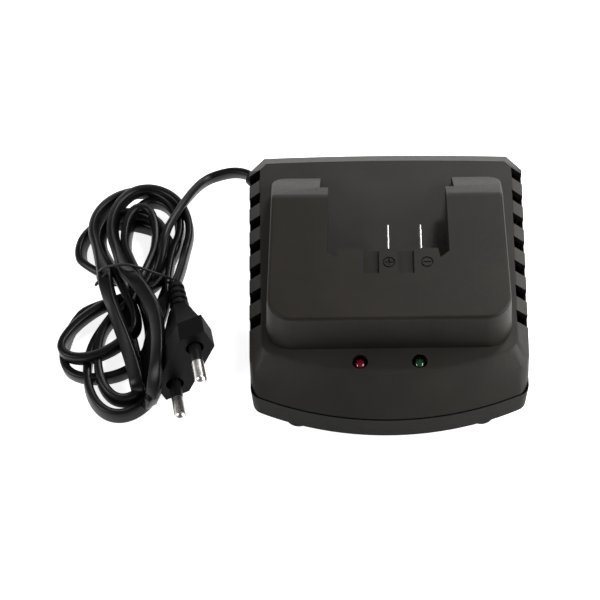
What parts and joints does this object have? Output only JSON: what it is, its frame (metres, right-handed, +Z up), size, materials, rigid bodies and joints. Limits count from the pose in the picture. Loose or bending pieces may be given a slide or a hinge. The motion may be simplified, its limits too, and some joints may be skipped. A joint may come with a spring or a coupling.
{
  "type": "power tool battery charger",
  "caption": "Mains charger for slide-on power tool batteries: vented case, horseshoe cradle with contact blades and pads, indicator lamps, and a coiled flat cord with a moulded pin plug.",
  "frame": {"origin": "on the floor under the middle of the charger case, the cord and plug not counted", "axes": "+X to the right seen from the indicator lamps, +Y from the lamps to the back where the battery slides in, +Z up"},
  "size_m": [0.1693, 0.1139, 0.038],
  "materials": {
    "case_plastic": "fine moulded texture, dark warm grey",
    "holder_plastic": "plain moulded",
    "nickel_brass": "bright nickel plate on brass",
    "board_laminate": "solder mask",
    "ferrite": "ground ferrite",
    "winding_tape": "polyester tape",
    "capacitor_case": "moulded box",
    "capacitor_sleeve": "shrink sleeve",
    "black_epoxy": "moulded epoxy",
    "aluminium_plate": "mill finish",
    "fuse_glass": "clear",
    "tin_plate": "tin plate",
    "red_lens": "clear tinted dome",
    "green_lens": "clear tinted dome",
    "spacer_nylon": "natural nylon",
    "cord_pvc": "flexible PVC, slight gloss",
    "wire_blue": "PVC insulation",
    "wire_brown": "PVC insulation",
    "tie_wire": "plastic coated wire",
    "sleeve_pvc": "moulded pin sleeve",
    "pin_metal": "nickel plated brass",
    "screw_steel": "zinc plate",
    "foot_rubber": "soft rubber"
  },
  "bodies": {
    "charger": {"battery_cradle": "case_plastic", "board_screw_1": "screw_steel", "board_screw_2": "screw_steel", "bottom_shell": "case_plastic", "bridge_rectifier": "black_epoxy", "bulk_capacitor": "capacitor_sleeve", "case_screw_1": "screw_steel", "case_screw_2": "screw_steel", "case_screw_3": "screw_steel", "case_screw_4": "screw_steel", "circuit_board": "board_laminate", "clamp_screw_1": "screw_steel", "clamp_screw_2": "screw_steel", "control_chip": "black_epoxy", "cord_clamp": "holder_plastic", "cord_hank": "cord_pvc", "cord_strain_relief": "cord_pvc", "cradle_screw_1": "screw_steel", "cradle_screw_2": "screw_steel", "cradle_screw_3": "screw_steel", "cradle_screw_4": "screw_steel", "filter_capacitor": "capacitor_case", "fuse": "fuse_glass", "fuse_clips": "tin_plate", "green_led": "green_lens", "green_led_spacer": "spacer_nylon", "hank_tie": "tie_wire", "heatsink": "aluminium_plate", "mains_choke": "ferrite", "mains_wire_1": "wire_blue", "mains_wire_2": "wire_brown", "negative_blade": "nickel_brass", "optocoupler": "black_epoxy", "output_capacitor": "capacitor_sleeve", "output_diode": "black_epoxy", "pin_sleeve_1": "sleeve_pvc", "pin_sleeve_2": "sleeve_pvc", "plug_body": "cord_pvc", "plug_pin_1": "pin_metal", "plug_pin_2": "pin_metal", "plug_strain_relief": "cord_pvc", "positive_blade": "nickel_brass", "power_cord": "cord_pvc", "power_transistor": "black_epoxy", "red_led": "red_lens", "red_led_spacer": "spacer_nylon", "rubber_foot_1": "foot_rubber", "rubber_foot_2": "foot_rubber", "rubber_foot_3": "foot_rubber", "rubber_foot_4": "foot_rubber", "terminal_block": "holder_plastic", "top_cover": "case_plastic", "transformer_core": "ferrite", "transformer_winding": "winding_tape"}
  },
  "joints": []
}
